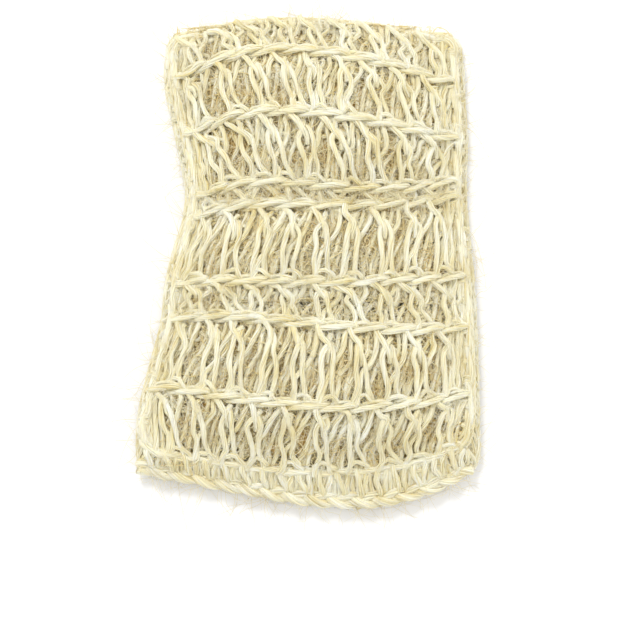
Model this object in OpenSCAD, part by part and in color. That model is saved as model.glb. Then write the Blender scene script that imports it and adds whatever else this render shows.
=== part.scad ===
// Rectangular bath pad: two crocheted twine panels over a wad of loofah fibre.
// Millimetres. +Z up, +Y towards the top edge. Origin: middle of the footprint, on the surface it lies on.

/* [Overall] */
// Height of the puffed front face at its highest (mm)
crown = 25; // [16:0.5:40]
// Exponent of the pillow shape from side to side: higher is flatter with rounder shoulders
puff_across = 3.2; // [2:0.1:6]
// Exponent of the pillow shape from top to bottom
puff_along = 5; // [2:0.5:9]
// Radius of the rounded corners (mm)
corner_r = 6; // [1:0.5:12]

/* [Rows] */
// Top edge: Y at the left end, the two thirds and the right end (mm)
row_0_y = [77, 83.5, 82.2, 77.5]; // [-90:0.1:90]
// Top edge: X of its two ends (mm)
row_0_x = [-47, 53]; // [-70:0.1:70]
// Chain row 1: Y across the pad (mm)
row_1_y = [62, 69, 66.2, 59.5]; // [-90:0.1:90]
// Chain row 1: X of its two ends (mm)
row_1_x = [-47.6, 53.7]; // [-70:0.1:70]
// Chain row 2: Y across the pad (mm)
row_2_y = [42, 46.6, 43.4, 39.8]; // [-90:0.1:90]
// Chain row 2: X of its two ends (mm)
row_2_x = [-43.4, 54.4]; // [-70:0.1:70]
// Chain row 3, upper lip of the upper fold: Y across the pad (mm)
row_3_y = [20.6, 22.8, 20.6, 25.6]; // [-90:0.1:90]
// Chain row 3: X of its two ends (mm)
row_3_x = [-39.6, 53.8]; // [-70:0.1:70]
// Chain row 4, lower lip of the upper fold: Y across the pad (mm)
row_4_y = [13.4, 15.2, 14.6, 20.2]; // [-90:0.1:90]
// Chain row 4: X of its two ends (mm)
row_4_x = [-41.2, 54]; // [-70:0.1:70]
// Chain row 5, upper lip of the lower fold: Y across the pad (mm)
row_5_y = [-9.5, -11, -11, -7.8]; // [-90:0.1:90]
// Chain row 5: X of its two ends (mm)
row_5_x = [-46.4, 55.9]; // [-70:0.1:70]
// Chain row 6, lower lip of the lower fold: Y across the pad (mm)
row_6_y = [-21.5, -24, -27, -25]; // [-90:0.1:90]
// Chain row 6: X of its two ends (mm)
row_6_x = [-47.6, 56.8]; // [-70:0.1:70]
// Chain row 7: Y across the pad (mm)
row_7_y = [-44.8, -50.8, -52.8, -47.8]; // [-90:0.1:90]
// Chain row 7: X of its two ends (mm)
row_7_x = [-53.3, 57.2]; // [-70:0.1:70]
// Front rim along the bottom: Y across the pad (mm)
row_8_y = [-66.5, -71.6, -73, -64.5]; // [-90:0.1:90]
// Front rim along the bottom: X of its two ends (mm)
row_8_x = [-58.14, 57]; // [-70:0.1:70]
// Thick closing braid below the front rim: Y across the pad (mm)
braid_y = [-72.4, -78.8, -83, -72]; // [-95:0.1:90]

/* [Twine] */
// Thickness of the crocheted fabric (mm)
sheet_t = 2.8; // [1:0.1:5]
// Height of the slanted stitch legs above the fabric (mm)
rib_h = 0.8; // [0:0.1:2]
// Stitches across one course
stitches = 10; // [6:1:16]
// Radius of a chain row (mm)
ridge_r = 1.3; // [0.8:0.1:2.5]
// Radius of the rim cords (mm)
rim_r = 1.5; // [0.8:0.1:2.5]
// Radius of the closing braid (mm)
braid_r = 2.1; // [1:0.1:4]
// Radius of a joining stitch (mm)
join_r = 0.9; // [0.4:0.1:1.4]

/* [Edge] */
// Height of the front rim cord's centre (mm)
front_rim_z = 9.5; // [6:0.5:16]
// Height of the back rim cord's centre (mm)
back_rim_z = 3.3; // [2:0.1:8]
// How far the front rim sits inside the back rim (mm)
rim_step = 2.3; // [0:0.1:6]
// How far the back panel curls up at its edge (mm)
back_lift = 2.2; // [0:0.1:6]

/* [Folds] */
// Depth of the two creases in the front face (mm)
crease_depth = 4; // [0:0.5:10]
// Y of the upper crease (mm)
upper_crease_y = 18.3; // [10:0.1:26]
// Y of the lower crease (mm)
lower_crease_y = -17.4; // [-26:0.1:-8]
// Half width of a crease (mm)
crease_w = 9; // [3:0.5:20]

/* [Clearances] */
// Gap between neighbouring pieces (mm)
gap = 0.35; // [0.1:0.05:1]
// How far the wad stays from the pad's edge (mm)
wad_inset = 9; // [4:0.5:20]
// Gap between the wad and the front panel (mm)
wad_gap = 1.8; // [0.5:0.1:4]

/* [Hidden] */
corner_u = 0.06;
corner_v = 0.3;
corner_tuck = 0.3 * corner_r;
slack = 0.4;
corner_slack = 2.2;
corner_slack_u = 0.12;
side_slack = 0.6;
row_x = [row_0_x, row_1_x, row_2_x, row_3_x, row_4_x, row_5_x, row_6_x, row_7_x, row_8_x];
upper_rows = [row_0_y, row_1_y, row_2_y, row_3_y, row_4_y, row_5_y, row_6_y, row_7_y];
front_rows = concat(upper_rows, [row_8_y]);
back_rows = concat(upper_rows, [braid_y]);
row_gap = ridge_r + gap;
rim_gap = rim_step + rim_r + gap + side_slack;
back_gap = rim_r + gap + side_slack;
// Row positions where the rims are divided: left and right side.
upper_rim_end = [3.28, 3.44];
mid_rim_start = [3.42, 3.62];
mid_rim_end = [5.5, 5.4];
lower_rim_start = [5.6, 5.5];
back_rim_end = 7.85;
top_joins = 18;
joins_per_course = 4;
last_join = 7.7;
twine_color = [0.91, 0.87, 0.74];
shade_color = [0.83, 0.77, 0.61];
fibre_color = [0.76, 0.66, 0.42];

function mix(a, b, t) = a + (b - a) * t;
function sq(x) = x * x;

// A smooth curve through four evenly spaced values.
function cubic(p, t) =
    let (a = 3 * t)
    p[0] * (1 - a) * (2 - a) * (3 - a) / 6 + p[1] * a * (2 - a) * (3 - a) / 2
    + p[2] * a * (a - 1) * (3 - a) / 2 + p[3] * a * (a - 1) * (a - 2) / 6;

// How near a place is to a corner: 1 at the corner itself, 0 beyond the rounding.
function near_end(t, reach) = sq(max(0, 1 - t / reach)) + sq(max(0, 1 - (1 - t) / reach));

// X of the pad's side (0 left, 1 right) at row position v, through the row ends.
function edge_x(v, side) =
    let (
        i = min(7, floor(v)), f = v - i,
        p = row_x[max(0, i - 1)][side], q = row_x[i][side],
        r = row_x[i + 1][side], s = row_x[min(8, i + 2)][side],
        x = 0.5 * (2 * q + (r - p) * f + (2 * p - 5 * q + 4 * r - s) * f * f
            + (3 * q - p - 3 * r + s) * f * f * f)
    )
    x + (1 - 2 * side) * corner_tuck * near_end(v / 8, corner_v / 8);

// Extra room that a course leaves at the top or bottom rim, more of it at the corners.
function rim_slack(u) = slack + corner_slack * near_end(u, corner_slack_u);

// Y at fraction u across the pad and row position v down it.
function row_at(rows, u, v) =
    let (
        i = min(7, floor(v)),
        end = near_end(u, corner_u) * corner_tuck
    )
    mix(cubic(rows[i], u), cubic(rows[i + 1], u), v - i)
    + end * (sq(max(0, 1 - (8 - v) / corner_v)) - sq(max(0, 1 - v / corner_v)));

function crease(y, at) = crease_depth * exp(-sq((y - at) / crease_w));

// Height of the front face: a pillow with two creases across it.
function front_z(u, v) =
    let (
        top = row_at(front_rows, 0.5, 0), low = row_at(front_rows, 0.5, 8),
        y = row_at(front_rows, 0.5, v),
        across = 1 - pow(abs(2 * u - 1), puff_across),
        along = 1 - pow(abs((2 * y - top - low) / (top - low)), puff_along)
    )
    front_rim_z + (crown - front_rim_z) * across * along
    - across * (crease(y, upper_crease_y) + crease(y, lower_crease_y));

// Height of the back face: flat, curling up near the edges.
function back_z(u, v) =
    back_lift * sq(max(0, max(abs(2 * u - 1) - 0.8, abs(v / 4 - 1) - 0.82) / 0.2));

// A solid between two grids of points, both listed row by row.
module sheet(top, bottom, nu, nv) {
    w = nu + 1;
    n = w * (nv + 1);
    rim = concat(
        [for (c = [0:nu]) c], [for (r = [1:nv]) r * w + nu],
        [for (c = [nu - 1:-1:0]) nv * w + c], [for (r = [nv - 1:-1:1]) r * w]
    );
    m = len(rim);
    polyhedron(
        concat(top, bottom),
        concat(
            [for (r = [0:nv - 1], c = [0:nu - 1]) let (a = r * w + c) each
                [[a, a + 1, a + w], [a + 1, a + w + 1, a + w]]],
            [for (r = [0:nv - 1], c = [0:nu - 1]) let (a = n + r * w + c) each
                [[a, a + w, a + 1], [a + 1, a + w, a + w + 1]]],
            [for (k = [0:m - 1]) let (a = rim[k], b = rim[(k + 1) % m]) each
                [[a, n + a, b], [b, n + a, n + b]]]
        )
    );
}

// A round cord along a path.
module cord(path, r, sides = 6) {
    n = len(path);
    points = [for (k = [0:n - 1]) each
        let (
            d = path[min(n - 1, k + 1)] - path[max(0, k - 1)],
            t = d / norm(d),
            s = cross([0, 0, 1], t) / norm(cross([0, 0, 1], t)),
            b = cross(t, s)
        )
        [for (j = [0:sides - 1]) let (a = (j + 0.5) * 360 / sides)
            path[k] + r * (cos(a) * s + sin(a) * b)]];
    polyhedron(points, concat(
        [[for (j = [0:sides - 1]) j]],
        [[for (j = [sides - 1:-1:0]) (n - 1) * sides + j]],
        [for (k = [0:n - 2], j = [0:sides - 1])
            let (a = k * sides + j, b = k * sides + (j + 1) % sides) each
            [[a, a + sides, b], [b, a + sides, b + sides]]]
    ));
}

// A place in a course: fraction u across, fraction f down, kept clear of what is above and below.
function course_xy(rows, i, u, f, inset, above, below) =
    let (
        y0 = row_at(rows, u, i), y1 = row_at(rows, u, i + 1),
        top = y0 - above - (i == 0 ? rim_slack(u) : 0),
        low = y1 + below + (i == 7 ? rim_slack(u) : 0),
        y = mix(top, low, f),
        v = i + (y0 - y) / (y0 - y1)
    )
    [mix(edge_x(v, 0) + inset, edge_x(v, 1) - inset, u), y, v];

// One course of tall slanted stitches on the front.
module front_course(i) {
    nu = 4 * stitches;
    nv = i == 3 ? 1 : i == 5 ? 2 : 3;
    above = i == 0 ? rim_gap : row_gap;
    below = i == 7 ? rim_r + gap : row_gap;
    grid = [for (r = [0:nv], c = [0:nu]) let (u = c / nu, f = r / nv)
        let (p = course_xy(front_rows, i, u, f, rim_gap, above, below))
        [p.x, p.y, front_z(u, p.z) - rib_h * (0.5 - 0.5 * cos(360 * (u * stitches - 0.45 * f)))]];
    low = [for (r = [0:nv], c = [0:nu]) let (u = c / nu)
        let (p = course_xy(front_rows, i, u, r / nv, rim_gap, above, below))
        [p.x, p.y, front_z(u, p.z) - sheet_t]];
    color(twine_color) sheet(grid, low, nu, nv);
}

// One course on the back, lying flat.
module back_course(i) {
    nu = 20;
    nv = i == 3 || i == 5 ? 1 : 3;
    above = i == 0 ? rim_r + gap : row_gap;
    below = i == 7 ? braid_r + gap + 1 : row_gap;
    grid = [for (r = [0:nv], c = [0:nu]) let (u = c / nu)
        course_xy(back_rows, i, u, r / nv, back_gap, above, below)];
    lift = i == 3 || i == 5 ? 0.5 : 0;
    color(shade_color) sheet(
        [for (k = [0:len(grid) - 1]) let (p = grid[k])
            [p.x, p.y, lift + back_z((k % (nu + 1)) / nu, p.z) + sheet_t]],
        [for (k = [0:len(grid) - 1]) let (p = grid[k])
            [p.x, p.y, lift + back_z((k % (nu + 1)) / nu, p.z)]],
        nu, nv
    );
}

// A chain row standing up between two courses on the front.
module front_ridge(i) {
    n = 3 * stitches;
    color(twine_color) cord([for (k = [0:n]) let (u = mix(0.012, 0.988, k / n))
        [mix(edge_x(i, 0) + rim_gap, edge_x(i, 1) - rim_gap, u),
            row_at(front_rows, u, i), front_z(u, i) - 0.2]], ridge_r);
}

// The same chain row on the back, pressed flat.
module back_ridge(i) {
    n = 20;
    w = ridge_r;
    at = [for (k = [0:n]) let (u = mix(0.006, 0.994, k / n))
        [mix(edge_x(i, 0) + back_gap, edge_x(i, 1) - back_gap, u), row_at(back_rows, u, i), back_z(u, i)]];
    color(shade_color) sheet(
        concat([for (p = at) p + [0, w, 2 * w]], [for (p = at) p + [0, -w, 2 * w]]),
        concat([for (p = at) p + [0, w, 0]], [for (p = at) p + [0, -w, 0]]),
        n, 1
    );
}

// The pad's side at row position v, a given distance inside its edge.
function side_at(rows, side, v, inset, z) =
    [edge_x(v, side) + (1 - 2 * side) * inset, row_at(rows, side, v), z];

function side_path(rows, side, v0, v1, n, inset, z) =
    [for (k = [0:n]) side_at(rows, side, mix(v0, v1, k / n), inset, z)];

// A row across the pad, a given distance inside its edge.
function across_path(rows, v, u0, u1, n, inset, drop, z) =
    [for (k = [0:n]) let (u = mix(u0, u1, k / n))
        [mix(edge_x(v, 0) + inset, edge_x(v, 1) - inset, u), row_at(rows, u, v) - drop, z]];

function reversed(list) = [for (k = [len(list) - 1:-1:0]) list[k]];

// Along one side, across the top or bottom row, and back along the other side.
function rim_loop(v0, v_end, row, inset, drop, z) =
    let (bend = v_end < 4 ? 0.34 : 7.66, turn = mix(bend, v_end, 0.33))
    concat(
        side_path(front_rows, 0, v0[0], bend, 8, inset, z),
        side_path(front_rows, 0, turn, v_end, 2, inset, z),
        across_path(front_rows, row, 0.012, 0.06, 2, inset, drop, z),
        across_path(front_rows, row, 0.1, 0.9, 14, inset, drop, z),
        across_path(front_rows, row, 0.94, 0.988, 2, inset, drop, z),
        reversed(side_path(front_rows, 1, turn, v_end, 2, inset, z)),
        reversed(side_path(front_rows, 1, v0[1], bend, 8, inset, z))
    );

module front_rim(path) color(twine_color) cord(path, rim_r);
module back_rim(path) color(shade_color) cord(path, rim_r);

// A rod between two points.
module rod(a, b, r) {
    d = b - a;
    translate(a) rotate([0, acos(d.z / norm(d)), atan2(d.y, d.x)]) cylinder(h = norm(d), r = r);
}

// One stitch between the back rim and the front rim.
module join(back, front) {
    d = (front - back) / norm(front - back);
    rod(back + d * (rim_r + gap), front - d * (rim_r + gap), join_r);
}

module side_joins(courses) {
    spots = [for (i = courses, k = [0:joins_per_course - 1]) i + (k + 0.5) / joins_per_course];
    for (v = spots, side = [0, 1]) {
        back = side_at(front_rows, side, v, 0, back_rim_z);
        front = side_at(front_rows, side, v, rim_step, front_rim_z);
        if (v < last_join) join(back, front);
    }
}

// Fibre filling between the two panels, from row v0 to row v1.
module wad(v0, v1) {
    nu = 18;
    nv = 9;
    end = (wad_inset - rim_gap) / 100;
    spot = [for (r = [0:nv], c = [0:nu]) let (u = mix(end, 1 - end, c / nu), v = mix(v0, v1, r / nv))
        [mix(edge_x(v, 0) + rim_gap, edge_x(v, 1) - rim_gap, u), row_at(front_rows, u, v), u, v]];
    color(fibre_color) sheet(
        [for (p = spot) [p[0], p[1], front_z(p[2], p[3]) - sheet_t - wad_gap]],
        [for (p = spot) [p[0], p[1], back_z(p[2], p[3]) + sheet_t + 1]],
        nu, nv
    );
}

module front_course_1() front_course(0);
module front_course_2() front_course(1);
module front_course_3() front_course(2);
module front_course_4() front_course(3);
module front_course_5() front_course(4);
module front_course_6() front_course(5);
module front_course_7() front_course(6);
module front_course_8() front_course(7);
module front_ridge_1() front_ridge(1);
module front_ridge_2() front_ridge(2);
module front_ridge_3() front_ridge(3);
module front_ridge_4() front_ridge(4);
module front_ridge_5() front_ridge(5);
module front_ridge_6() front_ridge(6);
module front_ridge_7() front_ridge(7);
module back_course_1() back_course(0);
module back_course_2() back_course(1);
module back_course_3() back_course(2);
module back_course_4() back_course(3);
module back_course_5() back_course(4);
module back_course_6() back_course(5);
module back_course_7() back_course(6);
module back_course_8() back_course(7);
module back_ridge_1() back_ridge(1);
module back_ridge_2() back_ridge(2);
module back_ridge_3() back_ridge(3);
module back_ridge_4() back_ridge(4);
module back_ridge_5() back_ridge(5);
module back_ridge_6() back_ridge(6);
module back_ridge_7() back_ridge(7);

// The short course between the front rim and the closing braid.
module closing_course() {
    nu = 4 * stitches;
    spot = [for (f = [0, 1], c = [0:nu]) let (u = mix(0.06, 0.94, c / nu))
        [mix(edge_x(8, 0) + rim_step, edge_x(8, 1) - rim_step, u),
            mix(row_at(front_rows, u, 8) - rim_r - gap, row_at(back_rows, u, 8) + braid_r + gap, f)
                + rim_slack(u) * (f - 0.5),
            mix(front_rim_z + 0.6, back_rim_z + 4.1, f)]];
    color(twine_color) sheet(
        [for (k = [0:len(spot) - 1]) spot[k] - [0, 0, rib_h * (0.5 - 0.5 * cos(90 * k))]],
        [for (p = spot) [p.x, p.y, p.z - 0.75 * sheet_t]],
        nu, 1
    );
}

// The two rim cords beside the middle of the pad.
module front_rim_mid(side)
    front_rim(side_path(front_rows, side, mid_rim_start[side], mid_rim_end[side], 8, rim_step, front_rim_z));
module back_rim_mid(side)
    back_rim(side_path(back_rows, side, mid_rim_start[side], mid_rim_end[side], 8, 0, back_rim_z));

// The back rim beside the lower part, ending above the braid.
module back_rim_lower(side)
    back_rim(side_path(back_rows, side, lower_rim_start[side], back_rim_end, 10, 0, back_rim_z));

module front_rim_upper() front_rim(rim_loop(upper_rim_end, 0.04, 0, rim_step, rim_step, front_rim_z));
module front_rim_mid_left() front_rim_mid(0);
module front_rim_mid_right() front_rim_mid(1);
module front_rim_lower() front_rim(rim_loop(lower_rim_start, 7.96, 8, rim_step, 0, front_rim_z));
module back_rim_upper() back_rim(rim_loop(upper_rim_end, 0.04, 0, 0, 0, back_rim_z));
module back_rim_mid_left() back_rim_mid(0);
module back_rim_mid_right() back_rim_mid(1);
module back_rim_lower_left() back_rim_lower(0);
module back_rim_lower_right() back_rim_lower(1);

module closing_braid() {
    path = across_path(back_rows, 8, 0.005, 0.995, 36, 0, 0, back_rim_z + 0.9);
    color(twine_color) cord(path, braid_r, 8);
}

module joining_stitches_upper() color(twine_color) {
    side_joins([0, 1, 2]);
    for (k = [0:top_joins - 1]) {
        u = (k + 0.5) / top_joins;
        back = [mix(edge_x(0, 0), edge_x(0, 1), u), row_at(front_rows, u, 0), back_rim_z];
        join(back, back + [0, -rim_step, front_rim_z - back_rim_z]);
    }
}
module joining_stitches_middle() color(twine_color) side_joins([4]);
module joining_stitches_lower() color(twine_color) side_joins([6, 7]);

module core_wad_upper() wad(0.42, 3.1);
module core_wad_middle() wad(3.9, 5.1);
module core_wad_lower() wad(5.9, 7.6);

front_course_1();
front_course_2();
front_course_3();
front_course_4();
front_course_5();
front_course_6();
front_course_7();
front_course_8();
closing_course();
front_ridge_1();
front_ridge_2();
front_ridge_3();
front_ridge_4();
front_ridge_5();
front_ridge_6();
front_ridge_7();
back_course_1();
back_course_2();
back_course_3();
back_course_4();
back_course_5();
back_course_6();
back_course_7();
back_course_8();
back_ridge_1();
back_ridge_2();
back_ridge_3();
back_ridge_4();
back_ridge_5();
back_ridge_6();
back_ridge_7();
front_rim_upper();
front_rim_mid_left();
front_rim_mid_right();
front_rim_lower();
back_rim_upper();
back_rim_mid_left();
back_rim_mid_right();
back_rim_lower_left();
back_rim_lower_right();
closing_braid();
joining_stitches_upper();
joining_stitches_middle();
joining_stitches_lower();
core_wad_upper();
core_wad_middle();
core_wad_lower();
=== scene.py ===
import math

import bpy
import numpy as np
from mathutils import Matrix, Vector


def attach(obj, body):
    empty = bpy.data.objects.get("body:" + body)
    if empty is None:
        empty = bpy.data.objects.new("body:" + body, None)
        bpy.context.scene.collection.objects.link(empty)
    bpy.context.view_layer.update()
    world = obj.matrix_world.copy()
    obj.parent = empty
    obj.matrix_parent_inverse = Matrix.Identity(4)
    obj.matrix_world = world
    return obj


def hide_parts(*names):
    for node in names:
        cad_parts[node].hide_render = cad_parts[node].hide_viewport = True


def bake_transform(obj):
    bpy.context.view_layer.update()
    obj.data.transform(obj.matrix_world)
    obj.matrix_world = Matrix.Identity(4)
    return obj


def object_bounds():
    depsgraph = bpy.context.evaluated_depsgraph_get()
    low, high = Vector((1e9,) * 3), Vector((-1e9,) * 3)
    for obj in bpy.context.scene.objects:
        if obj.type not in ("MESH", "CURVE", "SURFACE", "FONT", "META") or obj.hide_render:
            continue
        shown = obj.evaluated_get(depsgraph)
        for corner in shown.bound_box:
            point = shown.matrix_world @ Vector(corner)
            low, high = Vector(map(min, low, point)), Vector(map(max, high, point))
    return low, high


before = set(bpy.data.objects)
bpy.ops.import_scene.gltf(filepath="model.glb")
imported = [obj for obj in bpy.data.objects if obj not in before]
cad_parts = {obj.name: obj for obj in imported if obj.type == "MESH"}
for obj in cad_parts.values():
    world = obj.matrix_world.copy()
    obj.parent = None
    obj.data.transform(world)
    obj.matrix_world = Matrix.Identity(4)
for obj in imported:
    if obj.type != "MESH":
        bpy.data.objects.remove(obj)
START_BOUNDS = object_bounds()

# ---------------------------------------------------------------- sizes, in metres
MM = 0.001
TWINE_R = 0.9 * MM             # one strand of the twine
STEP = 1.1 * MM                 # distance between rings along a strand
PLIES = 9                       # fibre bundles that show round a strand
TWIST = 2 * math.pi / (26 * MM)  # how fast the bundles turn round a strand
PITCH = 10.5 * MM               # width of one stitch
COURSES = 8
FULL_COURSE = 16 * MM           # a course less tall than this has lower stitches
UPPER_CREASE = 3                # the course bunched up in the upper crease
LOWER_CREASE = 5                # the course in the lower crease
CORNER = 6 * MM                 # reach of the rims' rounded corners
LOOP_CORNER = 2.5 * MM          # how far from a corner the visible rims leave the sides
SIDE_X = 36 * MM                # anything further from the middle than this belongs to a side
TOP_Y = 70 * MM                 # the top rim lies above this
BOTTOM_Y = -62 * MM             # the bottom rim lies below this
FLYAWAY_R = 0.065 * MM          # a loose fibre of the twine
HAIR_POINTS = 8                 # rings along a loose fibre
HAIR_REACH = 9 * MM             # how far loose fibres may stand out beside the pad
HAIR_RISE = 7 * MM              # and above it
FIBRE_R = 0.14 * MM             # a fibre of the filling
BACK_LIFT = 1.9 * MM            # height of the back panel's strands above the back face
RNG = np.random.default_rng(11)

# Loose fibres reach no further than this box, and lie on the surface the pad rests on.
HAIR_LOW = np.array([START_BOUNDS[0][0] - HAIR_REACH, START_BOUNDS[0][1] - HAIR_REACH, 0.12 * MM])
HAIR_HIGH = np.array(START_BOUNDS[1]) + [HAIR_REACH, HAIR_REACH, HAIR_RISE]

# ---------------------------------------------------------------- reading the frame


def node_points(*names):
    found = []
    for name in names:
        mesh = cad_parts[name].data
        flat = np.empty(len(mesh.vertices) * 3)
        mesh.vertices.foreach_get("co", flat)
        found.append(flat.reshape(-1, 3))
    return np.vstack(found)


def weighted(at, places, values, width):
    """Values at `at`, each a smooth mean of the values whose places are near it."""
    at = np.asarray(at, float)
    flat = at.reshape(-1, places.shape[1]) if places.ndim > 1 else at.reshape(-1, 1)
    spots = places if places.ndim > 1 else places[:, None]
    gap = (((flat[:, None, :] - spots[None]) / width) ** 2).sum(2)
    weight = np.exp(-(gap - gap.min(1, keepdims=True)))
    return weight @ values / weight.sum(1).reshape((-1,) + (1,) * (values.ndim - 1))


class Line:
    """A row across the pad, read from the vertices of a CAD cord."""

    def __init__(self, points):
        self.grid = np.linspace(points[:, 0].min(), points[:, 0].max(), 80)
        self.values = weighted(self.grid, points[:, 0], points[:, 1:], 3 * MM)

    def y(self, x):
        return np.interp(x, self.grid, self.values[:, 0])

    def z(self, x):
        return np.interp(x, self.grid, self.values[:, 1])


class Side:
    """The pad's left or right edge: X at a given Y, read from the rim cords."""

    def __init__(self, points, sign):
        low, high = points[:, 1].min() + 1.5 * CORNER, points[:, 1].max() - 2 * CORNER
        self.grid = np.linspace(low, high, 120)
        beside = points[:, 0] * sign > SIDE_X
        edge = points[beside & (points[:, 1] > low) & (points[:, 1] < high)]
        self.values = weighted(self.grid, edge[:, 1], edge[:, 0], 4 * MM)

    def x(self, y):
        return np.interp(y, self.grid, self.values)


class Surface:
    """The front or back face of the CAD panel as a height field on a fine grid."""

    def __init__(self, points, top):
        mean = weighted(points[:, :2], points[:, :2], points[:, 2], 3 * MM)
        keep = points[:, 2] > mean if top else points[:, 2] < mean
        shell = points[keep]
        self.xs = np.linspace(points[:, 0].min(), points[:, 0].max(), 70)
        self.ys = np.linspace(points[:, 1].min(), points[:, 1].max(), 100)
        grid = np.stack(np.meshgrid(self.xs, self.ys), -1).reshape(-1, 2)
        width = np.array([3 * MM, 4 * MM])
        self.z = weighted(grid, shell[:, :2], shell[:, 2], width).reshape(100, 70)

    def at(self, x, y):
        i = np.clip((x - self.xs[0]) / (self.xs[1] - self.xs[0]), 0, 68.999)
        j = np.clip((y - self.ys[0]) / (self.ys[1] - self.ys[0]), 0, 98.999)
        a, b = i.astype(int), j.astype(int)
        s, t = i - a, j - b
        low = self.z[b, a] * (1 - s) + self.z[b, a + 1] * s
        high = self.z[b + 1, a] * (1 - s) + self.z[b + 1, a + 1] * s
        return low * (1 - t) + high * t


COURSE_NODES = [f"front_course_{k + 1}" for k in range(COURSES)]
BACK_NODES = [f"back_course_{k + 1}" for k in range(COURSES)]
FRONT = Surface(node_points(*COURSE_NODES), True)
BACK = Surface(node_points(*BACK_NODES), False)


def across_part(node, top):
    """The part of a rim that runs across the pad, without its corners."""
    points = node_points(node)
    points = points[points[:, 1] > TOP_Y] if top else points[points[:, 1] < BOTTOM_Y]
    low, high = points[:, 0].min() + CORNER, points[:, 0].max() - CORNER
    return Line(points[(points[:, 0] > low) & (points[:, 0] < high)])


ROWS = [across_part("front_rim_upper", True)]
ROWS += [Line(node_points(f"front_ridge_{k}")) for k in range(1, COURSES)]
ROWS.append(across_part("front_rim_lower", False))
BACK_ROWS = [across_part("back_rim_upper", True)]
BACK_ROWS += [Line(node_points(f"back_ridge_{k}")) for k in range(1, COURSES)]
BACK_ROWS.append(Line(node_points("closing_braid")))
INNER = [Side(node_points("front_rim_upper", "front_rim_lower", f"front_rim_mid_{s}"), g)
         for s, g in (("left", -1), ("right", 1))]
OUTER = [Side(node_points("back_rim_upper", f"back_rim_mid_{s}", f"back_rim_lower_{s}"), g)
         for s, g in (("left", -1), ("right", 1))]

# ---------------------------------------------------------------- strands


def smooth_path(points, count):
    """Catmull-Rom through the control points of many strands: (S, m, 3) to (S, count, 3)."""
    before, after = 2 * points[:, :1] - points[:, 1:2], 2 * points[:, -1:] - points[:, -2:-1]
    p = np.concatenate([before, points, after], 1)
    t = np.linspace(0, points.shape[1] - 1 - 1e-6, count)
    i = t.astype(int)
    f = (t - i)[None, :, None]
    a, b, c, d = p[:, i], p[:, i + 1], p[:, i + 2], p[:, i + 3]
    square, cube = 2 * a - 5 * b + 4 * c - d, 3 * b - a - 3 * c + d
    return 0.5 * (2 * b + (c - a) * f + square * f ** 2 + cube * f ** 3)


def frames(paths):
    """Tangent and two crossing directions, carried along each path without sudden turns."""
    tangent = np.gradient(paths, axis=1)
    tangent /= np.linalg.norm(tangent, axis=2, keepdims=True) + 1e-12
    normal = np.empty_like(tangent)
    seed = np.where(np.abs(tangent[:, 0, 2:3]) > 0.9, [[1.0, 0, 0]], [[0, 0, 1.0]])
    for k in range(paths.shape[1]):
        seed = seed - (seed * tangent[:, k]).sum(1, keepdims=True) * tangent[:, k]
        seed = seed / (np.linalg.norm(seed, axis=1, keepdims=True) + 1e-12)
        normal[:, k] = seed
    return normal, np.cross(tangent, normal)


def wander(shape, knots, amount):
    """Smooth random values along the last axis."""
    rough = RNG.normal(0, amount, shape[:-1] + (knots,))
    t = np.linspace(0, knots - 1.001, shape[-1])
    i = t.astype(int)
    return rough[..., i] * (1 - (t - i)) + rough[..., i + 1] * (t - i)


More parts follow.
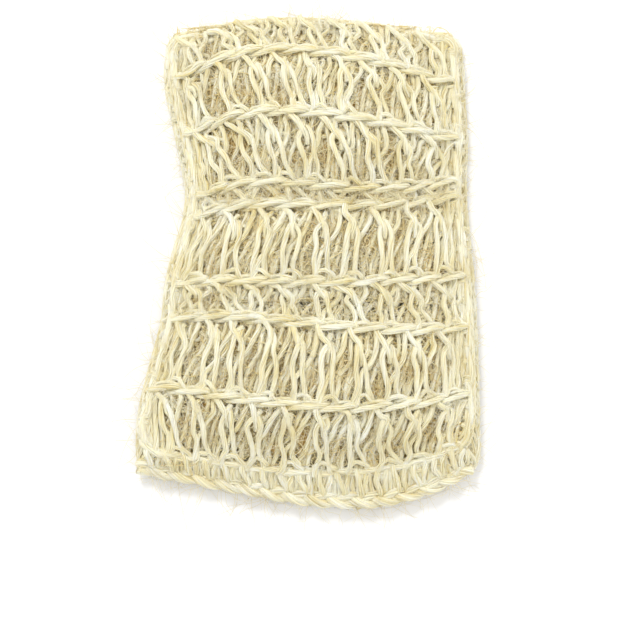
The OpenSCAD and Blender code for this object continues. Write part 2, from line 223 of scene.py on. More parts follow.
class Piece:
    """One visible piece: many tubes in one mesh, each with its own strip of the bake layout."""

    def __init__(self, name):
        self.name = name
        self.batches = []

    def tubes(self, centre, radius, sides, tone):
        """Tubes (M, n, 3) of the given radius (M, n) and tone (M, n)."""
        a, b = frames(centre)
        angle = np.arange(sides) * 2 * math.pi / sides
        ring = np.cos(angle)[:, None] * a[:, :, None] + np.sin(angle)[:, None] * b[:, :, None]
        self.batches.append((centre[:, :, None] + radius[:, :, None, None] * ring, tone))

    def strands(self, paths, radius, plies=PLIES, twist=TWIST):
        """Strands of twine: a core with bundles of fibre turned slowly round it. The core is painted
        darker, as painted shade in the gaps between the bundles.
        """
        count, n, _ = paths.shape
        radius = np.broadcast_to(radius, (count,))[:, None, None]
        a, b = frames(paths)
        arc = np.concatenate([np.zeros((count, 1)), np.cumsum(
            np.linalg.norm(np.diff(paths, axis=1), axis=2), 1)], 1)
        turn = RNG.uniform(0, 6.28, (count, 1, 1)) + np.arange(plies)[None, :, None] * 6.283 / plies
        turn = turn + twist * arc[:, None] + wander((count, plies, n), 4, 0.16)
        off = radius * (0.74 + wander((count, plies, n), 5, 0.09))
        centre = paths[:, None] + off[..., None] * (
            np.cos(turn)[..., None] * a[:, None] + np.sin(turn)[..., None] * b[:, None])
        thick = radius * (0.32 + wander((count, plies, n), 5, 0.05))
        strand_tone = RNG.normal(0, 0.35, (count, 1, 1)) + wander((count, 1, n), 3, 0.25)
        tone = strand_tone + RNG.normal(0.15, 0.75, (count, plies, 1))
        tone = tone + wander((count, plies, n), 4, 0.3)
        self.tubes(centre.reshape(-1, n, 3), thick.reshape(-1, n), 4, tone.reshape(-1, n))
        # The core is painted 1.6 tone darker than its strand: painted shade where it shows between the
        # bundles.
        core = np.broadcast_to(radius[:, 0] * 0.66, (count, n))
        self.tubes(paths, core, 6, np.broadcast_to(strand_tone[:, 0] - 1.6, (count, n)))

    def hairs(self, roots, away, length, tone=0.4, curl=0.45):
        """Loose fibres from each root, curling as they leave."""
        count = len(roots)
        t = np.linspace(0, 1, HAIR_POINTS)[None, :, None]
        away = away / (np.linalg.norm(away, axis=1, keepdims=True) + 1e-12)
        bend = RNG.normal(0, 1, (count, 3))
        bend -= (bend * away).sum(1, keepdims=True) * away
        reach = length[:, None, None]
        wave = RNG.normal(0, 0.12, (count, 1, 3)) * np.sin(t * RNG.uniform(4, 9, (count, 1, 1)))
        offset = reach * (away[:, None] * t + curl * bend[:, None] * t ** 2 + wave * t)
        room = np.where(offset > 0, HAIR_HIGH - roots[:, None], HAIR_LOW - roots[:, None])
        too_far = (offset / room)[..., :2].max((1, 2))
        too_high = np.where(offset > 0, offset / room, 0)[..., 2].max(1)
        path = roots[:, None] + offset / np.maximum(1, np.maximum(too_far, too_high))[:, None, None]
        path[:, :, 2] = np.maximum(path[:, :, 2], HAIR_LOW[2])
        thick = FLYAWAY_R * (1.15 - 0.7 * t[..., 0]) * RNG.uniform(0.7, 1.3, (count, 1))
        tones = RNG.normal(tone, 0.7, (count, 1))
        self.tubes(path, thick, 3, np.broadcast_to(tones, (count, HAIR_POINTS)))

    def layout(self):
        """A strip of the unit square for every tube, so that colours can be baked."""
        sizes = []
        for rings, _ in self.batches:
            length = np.linalg.norm(np.diff(rings[:, :, 0], axis=1), axis=2).sum(1)
            girth = np.linalg.norm(rings[:, 0, 0] - rings[:, 0, 1], axis=1) * rings.shape[2]
            sizes.append(np.stack([length, np.full(len(length), girth.mean())], 1))
        width = math.sqrt(sum((s[:, 0] * s[:, 1]).sum() for s in sizes)) * 1.12
        while True:
            places, x, y, row = [], 0.0, 0.0, 0.0
            for batch in sizes:
                spots = np.empty((len(batch), 2))
                for k, (length, girth) in enumerate(batch):
                    if x + length > width:
                        x, y, row = 0.0, y + row, 0.0
                    spots[k] = x, y
                    x, row = x + length, max(row, girth)
                places.append(spots)
            if y + row <= width:
                return [(p / width, s / width) for p, s in zip(places, sizes)]
            width *= 1.06

    def build(self, material, slot):
        verts, quads, uvs, tones, base = [], [], [], [], 0
        for (rings, tone), (place, size) in zip(self.batches, self.layout()):
            count, n, k, _ = rings.shape
            r, s = np.meshgrid(np.arange(n - 1), np.arange(k), indexing="ij")
            near, far = r * k + s, r * k + (s + 1) % k
            quad = np.stack([near, far, far + k, near + k], -1).reshape(-1, 4)
            quads.append((quad[None] + base + np.arange(count)[:, None, None] * n * k).reshape(-1, 4))
            u = np.stack([r, r, r + 1, r + 1], -1).reshape(-1) / (n - 1)
            v = (np.stack([s, s + 1, s + 1, s], -1).reshape(-1) / k) * 0.86 + 0.07
            uv = np.stack([place[:, :1] + u * size[:, :1], place[:, 1:] + v * size[:, 1:]], -1)
            uvs.append(uv.reshape(-1, 2))
            verts.append(rings.reshape(-1, 3))
            tones.append(np.repeat(tone[:, :, None], k, 2).reshape(-1))
            base += count * n * k
        return make_mesh(self.name, np.vstack(verts), np.vstack(quads), np.vstack(uvs),
                         np.concatenate(tones), material)


def make_mesh(name, verts, quads, uvs, tones, material):
    mesh = bpy.data.meshes.new(name)
    mesh.vertices.add(len(verts))
    mesh.vertices.foreach_set("co", verts.astype(np.float32).ravel())
    mesh.loops.add(quads.size)
    mesh.loops.foreach_set("vertex_index", quads.astype(np.int32).ravel())
    mesh.polygons.add(len(quads))
    mesh.polygons.foreach_set("loop_start", np.arange(0, quads.size, 4, dtype=np.int32))
    mesh.update(calc_edges=True)
    mesh.polygons.foreach_set("use_smooth", np.ones(len(quads), bool))
    layer = mesh.uv_layers.new(name="OFBake")
    layer.data.foreach_set("uv", uvs.astype(np.float32).ravel())
    mesh.attributes.new("tone", "FLOAT", "POINT").data.foreach_set("value", tones.astype(np.float32))
    mesh.materials.append(material)
    obj = bpy.data.objects.new(name, mesh)
    bpy.context.scene.collection.objects.link(obj)
    return obj


# ---------------------------------------------------------------- materials


def linear(r, g, b):
    return tuple(((c + 0.055) / 1.055) ** 2.4 if c > 0.04 else c / 12.92 for c in (r, g, b)) + (1.0,)


def fibre_material(name, dark, middle, light, streak=(60, 1400), rough=0.62, bump=0.35):
    """Matt plant fibre: each bundle its own tone, fine streaks along it, and a soft sheen. The tone
    attribute also carries painted shade: darker strand cores and darker loose fibres at the edges.
    """
    mat = bpy.data.materials.new(name)
    mat.use_nodes = True
    nodes, links = mat.node_tree.nodes, mat.node_tree.links
    shader = nodes["Principled BSDF"]
    tone = nodes.new("ShaderNodeAttribute")
    tone.attribute_name = "tone"
    uv = nodes.new("ShaderNodeUVMap")
    uv.uv_map = "OFBake"
    scale = nodes.new("ShaderNodeMapping")
    scale.inputs["Scale"].default_value = (streak[0], streak[1], 1)
    links.new(uv.outputs[0], scale.inputs[0])
    streaks = nodes.new("ShaderNodeTexNoise")
    streaks.inputs["Scale"].default_value = 1
    streaks.inputs["Detail"].default_value = 3
    links.new(scale.outputs[0], streaks.inputs["Vector"])
    place = nodes.new("ShaderNodeTexCoord")
    patches = nodes.new("ShaderNodeTexNoise")
    patches.inputs["Scale"].default_value = 90
    patches.inputs["Detail"].default_value = 4
    links.new(place.outputs["Object"], patches.inputs["Vector"])
    value = None
    for source, gain, centre in ((tone.outputs["Fac"], 0.13, 0), (streaks.outputs[0], 0.5, 0.5),
                                 (patches.outputs[0], 0.9, 0.5)):
        shift = nodes.new("ShaderNodeMath")
        shift.operation = "MULTIPLY_ADD"
        shift.inputs[1].default_value = gain
        shift.inputs[2].default_value = -gain * centre + (0.55 if value is None else 0)
        links.new(source, shift.inputs[0])
        if value is None:
            value = shift
            continue
        total = nodes.new("ShaderNodeMath")
        links.new(value.outputs[0], total.inputs[0])
        links.new(shift.outputs[0], total.inputs[1])
        value = total
    ramp = nodes.new("ShaderNodeValToRGB")
    ramp.color_ramp.elements[0].position = 0.15
    ramp.color_ramp.elements[0].color = linear(*dark)
    ramp.color_ramp.elements[1].position = 0.9
    ramp.color_ramp.elements[1].color = linear(*light)
    ramp.color_ramp.elements.new(0.5).color = linear(*middle)
    links.new(value.outputs[0], ramp.inputs[0])
    links.new(ramp.outputs[0], shader.inputs["Base Color"])
    gloss = nodes.new("ShaderNodeMapRange")
    gloss.inputs["To Min"].default_value = rough - 0.12
    gloss.inputs["To Max"].default_value = rough + 0.15
    links.new(streaks.outputs[0], gloss.inputs[0])
    links.new(gloss.outputs[0], shader.inputs["Roughness"])
    relief = nodes.new("ShaderNodeBump")
    relief.inputs["Strength"].default_value = bump
    relief.inputs["Distance"].default_value = 0.15 * MM
    links.new(streaks.outputs[0], relief.inputs["Height"])
    links.new(relief.outputs[0], shader.inputs["Normal"])
    shader.inputs["Sheen Weight"].default_value = 0.25
    shader.inputs["Sheen Roughness"].default_value = 0.5
    shader.inputs["Specular IOR Level"].default_value = 0.35
    shader.inputs["Subsurface Weight"].default_value = 0.3
    shader.inputs["Subsurface Radius"].default_value = (1.0, 0.75, 0.4)
    shader.inputs["Subsurface Scale"].default_value = 1.2 * MM
    return mat


TWINE = fibre_material("front twine", (0.88, 0.80, 0.54), (0.955, 0.915, 0.755), (0.99, 0.98, 0.90))
EDGE = fibre_material("edge twine", (0.87, 0.79, 0.54), (0.95, 0.91, 0.76), (0.99, 0.98, 0.90))
# The back panel is the same twine as the front, painted darker at every stop: painted shade for the panel
# that lies underneath.
REAR_SHADED = fibre_material("back twine shaded", (0.84, 0.75, 0.50), (0.92, 0.87, 0.70), (0.98, 0.96, 0.85))
FIBRE = fibre_material("loofah fibre", (0.84, 0.70, 0.41), (0.94, 0.86, 0.62), (0.985, 0.95, 0.80),
                       rough=0.7, bump=0.2)
WAD = fibre_material("filling", (0.82, 0.67, 0.38), (0.92, 0.80, 0.53), (0.97, 0.90, 0.69),
                     streak=(90, 90), rough=0.8, bump=0.8)

# ---------------------------------------------------------------- the two panels

# One tall stitch as strands: (across in stitches, down the course, height in mm), then radius in mm.
STITCH = [
    ([(-.04, -.05, -.6), (.06, .03, .6), (.24, .13, 1.2), (.42, .24, 1.2), (.54, .34, .5),
      (.56, .45, -.8)], 1.02),
    ([(.50, .10, -.6), (.42, .22, .6), (.34, .38, 1.0), (.36, .58, 1.0), (.46, .76, .7), (.44, .92, .2),
      (.38, 1.04, -1.2)], .94),
    ([(.44, .16, -.5), (.55, .26, .5), (.68, .40, .8), (.71, .58, .7), (.76, .77, .4), (.89, .92, -.1),
      (.97, 1.03, -1.3)], .9),
    ([(.97, -.03, -.8), (1.0, .10, .1), (.97, .25, .2), (.84, .42, -.2), (.64, .56, -.6), (.52, .72, -.1),
      (.52, .86, .5), (.44, .98, .1), (.36, 1.06, -1.2)], .88),
    ([(.72, -.03, -1.2), (.76, .14, -.7), (.72, .30, -.9), (.52, .50, -1.4), (.26, .70, -1.4),
      (.16, .96, -1.3)], .8),
    ([(.38, .97, -1.0), (.50, .90, .1), (.72, .87, .6), (.94, .91, .5), (1.12, .98, -.6)], .8),
    ([(.16, -.03, -1.5), (.22, .20, -.9), (.16, .42, -1.0), (.00, .62, -1.2), (-.14, .84, -1.0),
      (-.16, 1.05, -1.7)], .82),
    ([(.24, .02, -1.9), (.18, .30, -1.5), (.24, .55, -1.6), (.12, .80, -1.4), (.14, 1.02, -1.8)], .76),
    ([(.86, .02, -1.9), (.90, .34, -1.6), (.80, .62, -1.5), (.66, .84, -1.5), (.62, 1.02, -1.9)], .76),
    ([(.02, .06, -2.2), (.32, .45, -2.3), (.76, .93, -2.2)], .76),
    ([(.96, .10, -2.4), (.60, .5, -2.5), (.10, .94, -2.4)], .76),
    ([(.50, .02, -2.2), (.62, .42, -2.0), (.98, .72, -2.1), (1.08, 1.0, -2.3)], .74),
    ([(.30, .10, -1.8), (.62, .24, -1.2), (1.02, .30, -1.3), (1.36, .20, -2.0)], .72),
]
# How far the stitches of each course lean, in stitch widths.
COURSE_LEAN = [0.16, -0.04, 0.0, 0.1, -0.26, 0.05, 0.02, -0.08]
# Strands that run down beside the rims at both ends of a course: across from the end in mm, height in mm.
EDGE_STRANDS = [(0.2, -0.9), (1.9, 0.1), (3.6, -0.9)]
# The same in a course that is bunched up in a crease: short humps between the two chain rows.
SHORT_STITCH = [
    ([(-.04, -.05, -1.2), (.10, .15, -.2), (.30, .50, .1), (.46, .85, -.4), (.52, 1.05, -1.6)], 1.05),
    ([(.90, -.05, -1.4), (.86, .30, -.6), (.78, .70, -.7), (.70, 1.05, -1.6)], .95),
    ([(.62, -.05, -1.6), (.55, .35, -1.0), (.36, .70, -1.0), (.30, 1.05, -1.8)], .9),
    ([(.30, .75, -1.6), (.60, .60, -.9), (1.1, .75, -1.6)], .85),
]
# One chain link of a row: (along in stitches, across in mm, height in mm), then radius in mm.
LINK = [
    ([(-.16, -1.1, -1.3), (.03, -1.1, .1), (.32, -.7, 1.2), (.64, .05, 1.5), (.94, .7, 1.1),
      (1.14, .9, .1), (1.24, .7, -1.2)], 1.05),
    ([(.25, .6, -1.4), (.48, 1.5, -.1), (.78, 1.9, .5), (1.05, 1.6, .2), (1.26, .8, -1.3)], .85),
    ([(.55, -1.2, -1.6), (.80, -1.5, -.4), (1.10, -1.2, -.2), (1.35, -.4, -1.4)], .8),
]


def jitter(points, spread):
    return points + RNG.normal(0, 1, points.shape) * np.array(spread)


def sides_at(rows, k, f, edges):
    """X of both ends of the pad at fraction f down course k."""
    y = rows[k].y(0.0) * (1 - f) + rows[k + 1].y(0.0) * f
    return edges[0].x(y) + 2 * MM, edges[1].x(y) - 2 * MM


def panel_point(rows, edges, k, across, down, height, surface, back):
    """A place in course k: across from 0 (left) to 1, down from 0 to 1, height above the face."""
    left, right = sides_at(rows, k, down, edges)
    x = left + (right - left) * across
    y = rows[k].y(x) * (1 - down) + rows[k + 1].y(x) * down
    if back:
        return np.stack([x, y, surface.at(x, y) + BACK_LIFT - 0.5 * height], -1)
    return np.stack([x, y, surface.at(x, y) + height], -1)


def course(name, k, rows, edges, surface, back):
    piece = Piece(name)
    left, right = sides_at(rows, k, 0.5, edges)
    count = int(round((right - left) / PITCH))
    lean = RNG.normal(COURSE_LEAN[k], 0.15, count)
    start = np.arange(count) + RNG.normal(0, 0.05, count)
    tall = abs(rows[k].y(0.0) - rows[k + 1].y(0.0))
    reach = min(1.0, tall / FULL_COURSE)
    for control, radius in SHORT_STITCH if k == UPPER_CREASE else STITCH:
        control = np.array(control)
        c = jitter(np.repeat(control[None], count, 0), (0.045, 0.018, 0.2))
        across = (start[:, None] + c[:, :, 0] + lean[:, None] * (c[:, :, 1] - 0.3)) / count
        across = np.clip(across, -0.01, 1.01)
        place = panel_point(rows, edges, k, across, c[:, :, 1], c[:, :, 2] * MM * reach, surface, back)
        length = np.linalg.norm(np.diff(place, axis=1), axis=2).sum(1).mean()
        n = max(6, int(length / (STEP * (1.6 if back else 1))))
        size = radius * MM * RNG.uniform(0.9, 1.08, count) * TWINE_R / (0.95 * MM)
        piece.strands(smooth_path(place, n), size, plies=7 if back else PLIES)
    down = np.linspace(-0.03, 1.03, 9)
    for inset, height in EDGE_STRANDS:
        for end in (0, 1):
            across = abs(end - (inset * MM + RNG.normal(0, 0.35 * MM, 9)) / (right - left))
            place = panel_point(rows, edges, k, across, down, np.full(9, height * MM), surface, back)
            piece.strands(smooth_path(place[None], max(8, int(tall / STEP))), 0.9 * MM)
    hair_count = 60 if back else 400
    a, f = RNG.uniform(0, 1, hair_count), RNG.uniform(0, 1, hair_count)
    roots = panel_point(rows, edges, k, a, f, np.full(hair_count, 0.6 * MM), surface, back)
    away = np.stack([RNG.normal(0, 1, hair_count), RNG.normal(0, 1, hair_count),
                     RNG.uniform(0.0, 0.6, hair_count) * (-0.1 if back else 1)], 1)
    piece.hairs(roots, away, RNG.uniform(3, 11, hair_count) * MM)
    return piece


def chain(piece, spine, pitch, flip=1.0, scale=1.0, links=LINK):
    """Chain links along a spine (n, 3); `across` points to the spine's left, height is +Z."""
    along = np.gradient(spine, axis=0)
    along /= np.linalg.norm(along, axis=1, keepdims=True)
    side = np.cross([0, 0, 1.0], along)
    side /= np.linalg.norm(side, axis=1, keepdims=True)
    arc = np.concatenate([[0], np.cumsum(np.linalg.norm(np.diff(spine, axis=0), axis=1))])
    count = max(2, int(round(arc[-1] / pitch)))
    pitch = arc[-1] / count
    start = np.arange(count) + RNG.normal(0, 0.04, count)
    for control, radius in links:
        c = jitter(np.repeat(np.array(control)[None], count, 0), (0.03, 0.14, 0.14))
        s = np.clip((start[:, None] + c[:, :, 0]) * pitch, 0, arc[-1])
        base = np.stack([np.interp(s, arc, spine[:, i]) for i in range(3)], -1)
        left = np.stack([np.interp(s, arc, side[:, i]) for i in range(3)], -1)
        place = base + left * (c[:, :, 1:2] * MM * scale)
        place[:, :, 2] += c[:, :, 2] * MM * scale * flip
        length = np.linalg.norm(np.diff(place, axis=1), axis=2).sum(1).mean()
        size = radius * MM * scale * RNG.uniform(0.92, 1.08, count)
        piece.strands(smooth_path(place, max(7, int(length / STEP))), size * TWINE_R / MM)


def ridge(name, line, edges, back, z_shift):
    piece = Piece(name)
    y = line.y(0.0)
    x = np.linspace(edges[0].x(y) + 0.5 * MM, edges[1].x(y) - 0.5 * MM, 120)
    spine = np.stack([x, line.y(x), line.z(x) + z_shift], 1)
    chain(piece, spine, PITCH, flip=-0.4 if back else 1.0, scale=0.92)
    core = smooth_path((spine[::6] + [0, 0, (0.8 if back else -0.6) * MM])[None], 90)
    piece.strands(core, 0.85 * MM)
    count = 30 if back else 90
    roots = spine[RNG.integers(0, len(spine), count)]
    away = RNG.normal(0, 1, (count, 3)) * [1, 1, 0.3] + [0, 0, 0.0 if back else 0.5]
    piece.hairs(roots, away, RNG.uniform(4, 14, count) * MM)
    return piece


def mean_y(line):
    return float(line.y(0.0))


UPPER_START = (0, mean_y(ROWS[4]) + 0.5 * MM, 0.01)
UPPER_END = (0, mean_y(ROWS[3]) - 0.5 * MM, 0.01)
LOWER_START = (0, mean_y(ROWS[5]) - 0.5 * MM, 0.01)
LOWER_END = (0, mean_y(ROWS[6]) + 0.5 * MM, 0.01)


def bend(obj, top):
    """A piece that runs across a fold has its placement baked into its mesh."""
    if top:
        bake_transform(obj)
    else:
        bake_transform(obj)


def hold(obj, k):
    """Course k (0 to 7) goes with its body, or, in a crease, has its placement baked into its mesh."""
    if k in (UPPER_CREASE, LOWER_CREASE):
        bend(obj, k == UPPER_CREASE)
    else:
        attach(obj, "upper" if k < 3 else "middle" if k == 4 else "lower")


for k in range(COURSES):
    obj = course(f"stitches_front_{k + 1}", k, ROWS, INNER, FRONT, False).build(TWINE, "front_twine")
    hold(obj, k)
    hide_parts(f"front_course_{k + 1}")
    obj = course(f"stitches_back_{k + 1}", k, BACK_ROWS, OUTER, BACK, True).build(REAR_SHADED, "back_twine")
    hold(obj, k)
    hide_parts(f"back_course_{k + 1}")
for k in range(1, COURSES):
    body = "upper" if k <= 3 else "middle" if k <= 5 else "lower"
    obj = ridge(f"chain_row_front_{k}", ROWS[k], INNER, False, 0).build(TWINE, "front_twine")
    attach(obj, body)
    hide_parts(f"front_ridge_{k}")
    obj = ridge(f"chain_row_back_{k}", BACK_ROWS[k], OUTER, True, 0.2 * MM).build(REAR_SHADED, "back_twine")
    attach(obj, body)
    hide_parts(f"back_ridge_{k}")

# ---------------------------------------------------------------- rims, joining stitches and braid


def loop_spine(row, edges, y_from, top, z):
    """From the middle of the left side round the top or bottom row and back down the right side."""
    sign = 1 if top else -1
    x0 = edges[0].x(row.y(row.grid[0]))
    x1 = edges[1].x(row.y(row.grid[-1]))
    ends = [row.y(x) - sign * LOOP_CORNER for x in (x0 + LOOP_CORNER, x1 - LOOP_CORNER)]
    ys0 = np.linspace(y_from, ends[0], 50)
    ys1 = np.linspace(ends[1], y_from, 50)
    xs = np.linspace(x0 + LOOP_CORNER, x1 - LOOP_CORNER, 80)
    path = np.vstack([np.stack([edges[0].x(ys0), ys0], 1), np.stack([xs, row.y(xs)], 1),
                      np.stack([edges[1].x(ys1), ys1], 1)])
    arc = np.concatenate([[0], np.cumsum(np.linalg.norm(np.diff(path, axis=0), axis=1))])
    even = np.linspace(0, arc[-1], 240)
    path = np.stack([np.interp(even, arc, path[:, i]) for i in (0, 1)], 1)
    kernel = np.hanning(7)[1:-1]
    kernel /= kernel.sum()
    for _ in range(2):
        path[2:-2] = np.stack([np.convolve(path[:, i], kernel, "valid") for i in (0, 1)], 1)
    return np.column_stack([path, np.full(len(path), z)])


RIM_LINK = [
    ([(-.25, -.8, -1.0), (.0, -.75, .2), (.35, -.4, .8), (.65, .0, .9), (.95, .4, .6),
      (1.25, .6, -1.0)], 1.1),
    ([(.25, .9, -1.0), (.5, .85, .1), (.8, .5, .3), (1.1, .1, -.1), (1.4, -.5, -1.1)], 1.0),
]
Y_MIDDLE = mean_y(ROWS[4]) / 2 + mean_y(ROWS[5]) / 2
RIM_OVERLAP = 2.5 * MM          # how far the two loops of a rim run past each other at the sides
front_z = float(node_points("front_rim_mid_left")[:, 2].mean())
back_z = float(node_points("back_rim_mid_left")[:, 2].mean())


def edge_hairs(piece, spine, count):
    pick = RNG.integers(3, len(spine) - 3, count)
    out = np.cross(spine[pick + 2] - spine[pick - 2], [0, 0, 1.0])
    out /= np.linalg.norm(out, axis=1, keepdims=True)
    outward = np.sign((out * (spine[pick] - spine.mean(0))).sum(1, keepdims=True))
    away = out * outward * RNG.uniform(0.0, 0.7, (count, 1))
    away = away + RNG.normal(0, 0.8, (count, 3)) * [1, 1, 0.3]
    away[:, 2] = np.abs(away[:, 2])
    length = np.minimum(RNG.gamma(1.6, 4.0, count), 15) * MM
    # Loose fibres at the edges get tone -2.0, far darker than the same fibres on the face: painted shade,
    # so they show grey against the pale floor.
    piece.hairs(spine[pick], away, length, tone=-2.0, curl=0.9)


def rim(name, rows, edges, top, z, nodes):
    piece = Piece(name)
    start = Y_MIDDLE - RIM_OVERLAP if top else Y_MIDDLE + RIM_OVERLAP
    spine = loop_spine(rows[0] if top else rows[8], edges, start, top, z)
    chain(piece, spine, 12 * MM, links=RIM_LINK)
    piece.strands(smooth_path(spine[::5][None], 260), 0.9 * MM)
    out = np.cross(np.gradient(spine, axis=0), [0, 0, 1.0])
    out *= -1.0 / np.linalg.norm(out, axis=1, keepdims=True) * (1 if top else -1)
    beside = spine + out * 1.1 * MM + [0, 0, -0.6 * MM] + 0.25 * MM * RNG.normal(0, 1, (1, 3))
    piece.strands(smooth_path(beside[::4][None], 300), 0.85 * MM, twist=2.2 * TWIST)
    edge_hairs(piece, spine, 260)
    obj = piece.build(EDGE, "edge_twine")
    bend(obj, top)
    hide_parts(*nodes)
    return spine


front_upper = rim("rim_front_upper", ROWS, INNER, True, front_z,
                  ["front_rim_upper", "front_rim_mid_left"])
front_lower = rim("rim_front_lower", ROWS, INNER, False, front_z,
                  ["front_rim_lower", "front_rim_mid_right"])
back_upper = rim("rim_back_upper", BACK_ROWS, OUTER, True, back_z,
                 ["back_rim_upper", "back_rim_mid_left"])
back_lower = rim("rim_back_lower", BACK_ROWS, OUTER, False, back_z + 0.6 * MM,
                 ["back_rim_lower_left", "back_rim_lower_right", "back_rim_mid_right"])


def part_way(spine, share):
    """Places at the given fractions along a spine."""
    steps = np.linspace(0, 1, len(spine))
    return np.stack([np.interp(share, steps, spine[:, i]) for i in range(3)], -1)


def joins(name, low, high, nodes, top):
    """Loops of twine that hold the two rims together, each leaning a little."""
    piece = Piece(name)
    count = 84
    at = (np.arange(count) + 0.5) / count
    bottom, upper = part_way(low, at), part_way(high, at + RNG.normal(0.004, 0.004, count))
    out = bottom - bottom.mean(0)
    out[:, 2] = 0
    out /= np.linalg.norm(out, axis=1, keepdims=True)
    control = np.stack([base + out * side * MM + [0, 0, rise * MM] for base, side, rise in (
        (bottom, -1.5, -0.4), (bottom, 0.4, 0.3), ((bottom + upper) / 2, 0.5, 0),
        (upper, 0.3, 0.3), (upper, -0.9, 0.2), (upper, -1.4, -1.2))], 1)
    piece.strands(smooth_path(jitter(control, (0.3 * MM, 0.3 * MM, 0.1 * MM)), 12), 0.85 * MM)
    inner = np.stack([base + out * side * MM + [0, 0, rise * MM] for base, side, rise in (
        (bottom, -2.5, 0), ((bottom + upper) / 2, -1.2, 0), (upper, -1.6, -1.5))], 1)
    piece.strands(smooth_path(jitter(inner, (0.8 * MM, 0.8 * MM, 0.1 * MM)), 8), 0.85 * MM)
    for share in (0.3, 0.55, 0.8):
        along = low * (1 - share) + high * share
        turned = np.cross(np.gradient(along, axis=0), [0, 0, 1.0])
        turned /= np.linalg.norm(turned, axis=1, keepdims=True) * (-1 if top else 1)
        behind = (along + turned * -1.5 * MM)[::6]
        behind = behind + RNG.normal(0, 0.5 * MM, behind.shape) * [0.6, 0.6, 1]
        piece.strands(smooth_path(behind[None], 240), 0.95 * MM)
    obj = piece.build(EDGE, "edge_twine")
    bend(obj, top)
    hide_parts(*nodes)


joins("joins_upper", back_upper, front_upper, ["joining_stitches_upper", "joining_stitches_middle"], True)
joins("joins_lower", back_lower, front_lower, ["joining_stitches_lower"], False)


def closing():
    """The short last course and the thick three strand braid under it."""
    braid = BACK_ROWS[8]
    x = np.linspace(braid.grid[0], braid.grid[-1], 200)
    spine = np.stack([x, braid.y(x), braid.z(x)], 1)
    arc = np.concatenate([[0], np.cumsum(np.linalg.norm(np.diff(spine, axis=0), axis=1))])
    piece = Piece("braid")
    for k in range(3):
        phase = arc / (23 * MM) * 6.283 + k * 6.283 / 3
        path = spine.copy()
        path[:, 1] += 1.8 * MM * np.sin(phase) + 0.6 * MM
        path[:, 2] += 0.9 * MM * np.sin(2 * phase) + 0.8 * MM
        piece.strands(path[None], 1.42 * MM, plies=12)
    edge_hairs(piece, spine, 260)
    obj = piece.build(EDGE, "edge_twine")
    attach(obj, "lower")
    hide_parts("closing_braid")

    piece = Piece("closing_stitches")
    count = 17
    high = ROWS[8]
    for control, radius in (
            ([(.2, -.10, -.6), (.22, .15, .8), (.34, .45, 1.0), (.48, .7, .3), (.55, .9, -1.2)], 1.0),
            ([(.78, -.10, -.6), (.76, .25, .3), (.72, .6, .1), (.82, .9, -1.4)], .95),
            ([(.5, -.08, -1), (.52, .35, -.5), (.40, .85, -1.4)], .9),
            ([(.98, -.08, -1), (1.0, .35, -.4), (1.06, .85, -1.4)], .9),
            ([(.1, .2, -1.4), (.4, .6, -1.2), (.8, .8, -1.0)], .9),
            ([(-.1, .35, -1.5), (.5, .45, -1.6), (1.1, .4, -1.5)], .95),
            ([(-.1, .75, -1.5), (.5, .65, -1.6), (1.1, .75, -1.5)], .95)):
        c = jitter(np.repeat(np.array(control)[None], count, 0), (0.05, 0.03, 0.15))
        t = (np.arange(count)[:, None] + c[:, :, 0]) / count
        x = braid.grid[0] + (braid.grid[-1] - braid.grid[0]) * (0.02 + 0.96 * t)
        y = high.y(x) * (1 - c[:, :, 1]) + braid.y(x) * c[:, :, 1]
        z = (front_z + 0.5 * MM) * (1 - c[:, :, 1]) + (braid.z(x) + 1.2 * MM) * c[:, :, 1]
        place = np.stack([x, y, z + c[:, :, 2] * MM], -1)
        piece.strands(smooth_path(place, 12), radius * MM)
    obj = piece.build(TWINE, "front_twine")
    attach(obj, "lower")
    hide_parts("closing_course")


closing()

# ---------------------------------------------------------------- the filling


def bumps(x, y, size, amount):
    """A cheap smooth random relief."""
    total = np.zeros_like(x)
    for _ in range(14):
        angle, phase = RNG.uniform(0, 6.283, 2)
        wave = RNG.uniform(0.7, 1.8) / size
        total += np.sin((x * math.cos(angle) + y * math.sin(angle)) * wave * 6.283 + phase)
    return total * amount / 3.7


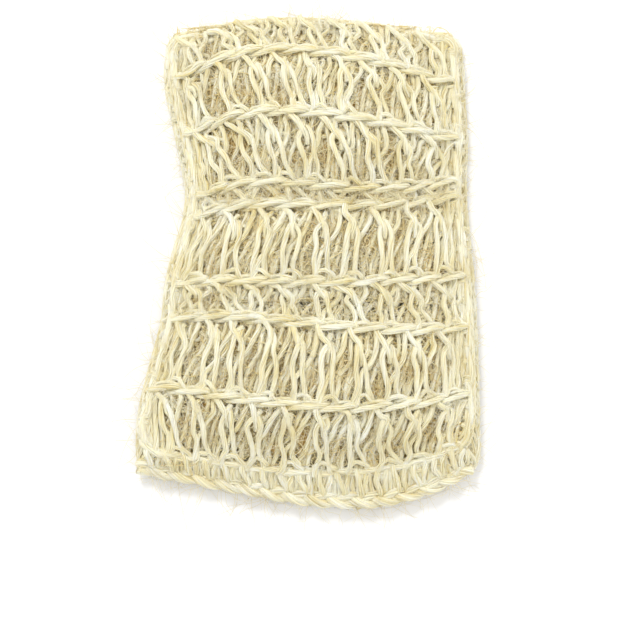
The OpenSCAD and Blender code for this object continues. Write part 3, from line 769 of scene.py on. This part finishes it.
def filling(part, k0, k1, body):
    """A pillow of fibre between the panels, from row k0 to row k1, with a tangle of loose fibre on it."""
    nu, nv = 130, 60
    u, v = np.meshgrid(np.linspace(0, 1, nu), np.linspace(k0, k1, nv))
    k = np.minimum(v.astype(int), 7)
    f = v - k
    y0 = sum(np.where(k == i, ROWS[i].y(0.0), 0) for i in range(8))
    y1 = sum(np.where(k == i, ROWS[i + 1].y(0.0), 0) for i in range(8))
    yc = y0 * (1 - f) + y1 * f
    left, right = INNER[0].x(yc) + 2.5 * MM, INNER[1].x(yc) - 2.5 * MM
    x = left + (right - left) * u
    y = sum(np.where(k == i, ROWS[i].y(x) * (1 - f) + ROWS[i + 1].y(x) * f, 0) for i in range(8))
    round_off = 1 - np.abs(2 * u - 1) ** 9
    ends = 1 - np.abs(2 * (v - k0) / (k1 - k0) - 1) ** 14
    high = FRONT.at(x, y) - 2.7 * MM + bumps(x, y, 5 * MM, 0.5 * MM)
    low = BACK.at(x, y) + 3.4 * MM + bumps(x, y, 5 * MM, 0.3 * MM)
    middle = (high + low) / 2
    fill = np.clip(round_off * ends, 0, 1) ** 0.5
    high = middle + (high - middle) * fill
    low = middle - (middle - low) * fill
    verts = np.vstack([np.stack([x, y, z], -1).reshape(-1, 3) for z in (high, low)])
    i, j = np.meshgrid(np.arange(nu - 1), np.arange(nv - 1))
    a = (j * nu + i).ravel()
    top = np.stack([a, a + nu, a + nu + 1, a + 1], 1)
    below = np.stack([a, a + 1, a + nu + 1, a + nu], 1) + nu * nv
    quads = np.vstack([top, below])
    flat = np.stack([u, (v - k0) / (k1 - k0)], -1).reshape(-1, 2) * [0.48, 0.96] + 0.01
    uvs = np.vstack([flat, flat + [0.5, 0]])[quads.ravel()]
    tones = RNG.normal(0, 0.8, len(verts))
    wad = make_mesh(f"filling_{part}", verts, quads, uvs, tones, WAD)
    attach(wad, body)
    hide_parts(f"core_wad_{part}")

    piece = Piece(f"fibre_{part}")
    for count, surface, up, side_depth in ((3200, FRONT, -1, (0.1, 3.0)), (600, BACK, 1, (2.4, 3.8))):
        pick = RNG.integers(0, nu * nv, count)
        px, py = x.ravel()[pick], y.ravel()[pick]
        n = 12
        heading = RNG.uniform(0, 6.283, (count, 1)) + np.cumsum(wander((count, n), 5, 0.55), 1)
        hop = RNG.uniform(0.7, 1.5, (count, 1)) * MM
        fx = px[:, None] + np.cumsum(np.cos(heading) * hop, 1)
        fy = py[:, None] + np.cumsum(np.sin(heading) * hop, 1)
        fx = np.clip(fx, INNER[0].x(fy) + 1 * MM, INNER[1].x(fy) - 1 * MM)
        fy = np.clip(fy, y.min(), y.max())
        depth = RNG.uniform(*side_depth, (count, 1)) * MM + wander((count, n), 4, 0.5 * MM)
        path = np.stack([fx, fy, surface.at(fx, fy) + up * depth], -1)
        thick = np.broadcast_to(FIBRE_R * RNG.uniform(0.6, 1.4, (count, 1)), (count, n))
        piece.tubes(path, thick, 3, np.broadcast_to(RNG.normal(0, 1.0, (count, 1)), (count, n)))
    obj = piece.build(FIBRE, "filling_fibre")
    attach(obj, body)


filling("upper", 0.12, 3.35, "upper")
filling("middle", 3.65, 5.4, "middle")
filling("lower", 5.6, 7.9, "lower")

# ---------------------------------------------------------------- floor, light and camera


def area_light(name, place, size, power):
    data = bpy.data.lights.new(name, "AREA")
    data.shape = "DISK"
    data.size = size
    data.energy = power
    light = bpy.data.objects.new(name, data)
    light.location = place
    light.rotation_euler = (-Vector(place)).to_track_quat("-Z", "Y").to_euler()
    bpy.context.scene.collection.objects.link(light)


def studio():
    bpy.ops.mesh.primitive_plane_add(size=6, location=(0, 0, 0))
    floor = bpy.context.object
    floor.name = "floor"
    mat = bpy.data.materials.new("floor")
    mat.use_nodes = True
    mat.node_tree.nodes["Principled BSDF"].inputs["Base Color"].default_value = (0.93, 0.93, 0.93, 1)
    mat.node_tree.nodes["Principled BSDF"].inputs["Roughness"].default_value = 0.9
    floor.data.materials.append(mat)
    world = bpy.data.worlds.new("studio")
    bpy.context.scene.world = world
    world.use_nodes = True
    world.node_tree.nodes["Background"].inputs[0].default_value = (1, 1, 1, 1)
    world.node_tree.nodes["Background"].inputs[1].default_value = 0.88
    area_light("key", (-0.25, 0.55, 0.8), 0.35, 4.9)
    area_light("fill", (0.6, -0.3, 0.7), 0.6, 1.5)
    camera = bpy.data.cameras.new("camera")
    camera.lens = 100
    obj = bpy.data.objects.new("camera", camera)
    target = Vector((1.4 * MM, -19.2 * MM, 12 * MM))
    distance, elevation = 0.58, math.radians(82)
    obj.location = target + distance * Vector((0, -math.cos(elevation), math.sin(elevation)))
    obj.rotation_euler = (target - obj.location).to_track_quat("-Z", "Y").to_euler()
    bpy.context.scene.collection.objects.link(obj)
    bpy.context.scene.camera = obj
    bpy.context.scene.view_settings.view_transform = "Standard"


studio()
